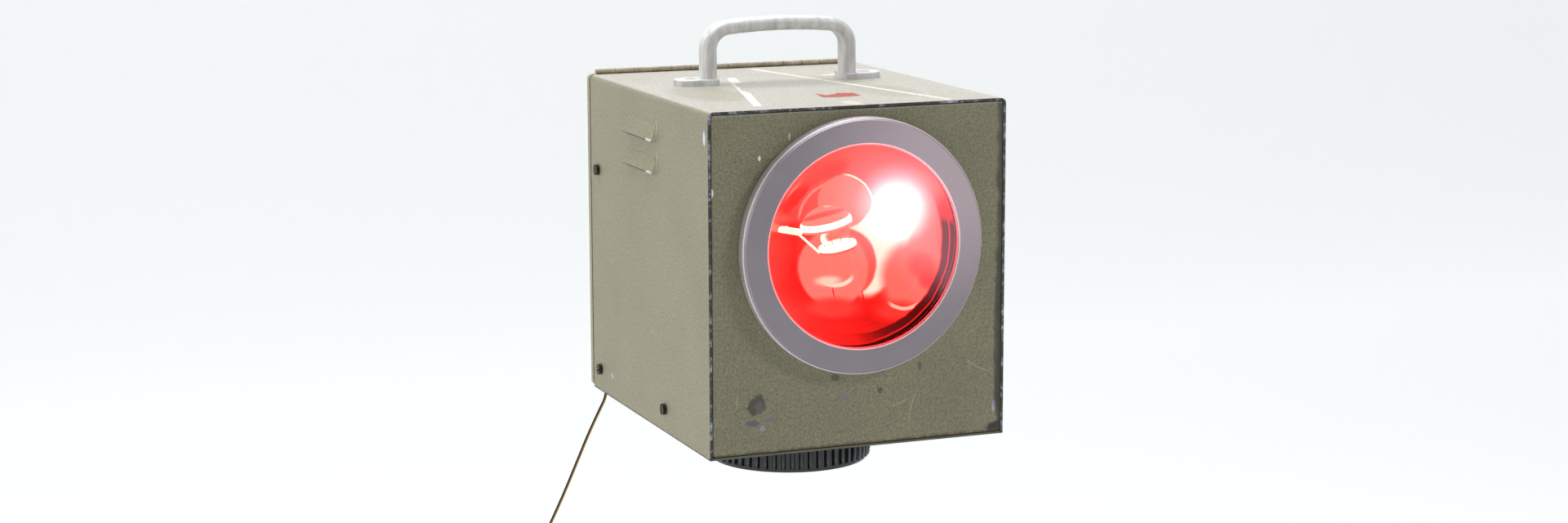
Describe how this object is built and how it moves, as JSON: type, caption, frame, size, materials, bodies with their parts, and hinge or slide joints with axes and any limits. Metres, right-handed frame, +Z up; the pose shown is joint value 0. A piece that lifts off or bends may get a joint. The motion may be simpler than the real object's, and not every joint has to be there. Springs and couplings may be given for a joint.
{
  "type": "signal lamp",
  "caption": "Box-shaped signalling lamp with a round red glass, carrying handle, louvred sides, hinged rear door and ribbed turning base.",
  "frame": {"origin": "mouth of the screwed bush under the base, on the line that the lamp turns about", "axes": "+X to the right of someone facing the red glass, +Y towards the rear door, +Z up"},
  "size_m": [0.2961, 0.2803, 0.4433],
  "materials": {
    "olive_paint": "wrinkle paint, satin",
    "inner_paint": "thin paint, matt",
    "cast_alloy": "sand cast, worn bright on top",
    "bezel_alloy": "turned, dull satin",
    "black_moulding": "moulded, glossy",
    "brass": "machined",
    "steel": "zinc plated",
    "dark_steel": "blackened",
    "nickel": "nickel plated",
    "nylon": "natural",
    "red_glass": "pressed, polished",
    "sponge": "matt",
    "mirror_metal": "polished reflector",
    "spun_alloy": "spun, dull inside",
    "clear_glass": "blown, clear",
    "tungsten": "drawn wire",
    "socket_ceramic": "fired, matt",
    "block_plastic": "moulded",
    "red_sheath": "flexible sheath",
    "black_sheath": "flexible sheath",
    "plug_black": "moulded"
  },
  "bodies": {
    "pan_base": {"turning_base": "cast_alloy", "base_band": "black_moulding", "tripod_bush": "brass", "bush_screws": "steel", "pan_spindle": "steel", "thrust_washer": "nylon", "friction_washer": "steel", "pan_nut": "steel"},
    "case": {"case_sleeve": "olive_paint", "front_panel": "olive_paint", "base_tray": "inner_paint", "rear_frame": "inner_paint", "side_screws_right": "dark_steel", "side_screws_left": "dark_steel", "carry_handle": "cast_alloy", "handle_screws": "steel", "handle_washers": "steel", "handle_nuts": "steel", "bayonet_ring": "bezel_alloy", "ring_screws": "steel", "reflector": "mirror_metal", "bulb_glass": "clear_glass", "bulb_cap": "brass", "bulb_filament": "tungsten", "bulb_socket": "socket_ceramic", "socket_bracket": "inner_paint", "bracket_screws": "steel", "bulb_shield": "spun_alloy", "shield_arm": "spun_alloy", "arm_nut": "steel", "terminal_block": "block_plastic", "terminal_screws": "steel", "live_wire": "red_sheath", "return_wire": "black_sheath", "lead_tail": "black_sheath", "lead_grommet": "sponge", "signal_lead": "black_sheath", "lead_plug": "plug_black", "plug_pins": "brass", "case_hinge_leaf": "dark_steel", "hinge_pin": "steel"},
    "bezel": {"bezel_ring": "bezel_alloy", "front_gasket": "sponge", "filter_glass": "red_glass", "rear_gasket": "sponge", "retaining_ring": "steel"},
    "door": {"rear_door": "olive_paint", "door_hinge_leaf": "dark_steel", "door_seal": "sponge"},
    "latch": {"latch_knob": "nickel", "latch_cam": "steel", "latch_nut": "steel"}
  },
  "joints": [
    {"name": "pan_turn", "type": "hinge", "parent": "pan_base", "child": "case", "pos_m": [0, 0, 0.034], "axis": [0, 0, 1], "continuous": true},
    {"name": "bezel_turn", "type": "hinge", "parent": "case", "child": "bezel", "pos_m": [0, -0.1326, 0.1781], "axis": [0, -1, 0], "range_deg": [0, 45]},
    {"name": "door_hinge", "type": "hinge", "parent": "case", "child": "door", "pos_m": [0, 0.12525, 0.2771], "axis": [1, 0, 0], "range_deg": [0, 200]},
    {"name": "latch_turn", "type": "hinge", "parent": "door", "child": "latch", "pos_m": [0, 0.1324, 0.0581], "axis": [0, 1, 0], "range_deg": [0, 90]}
  ]
}
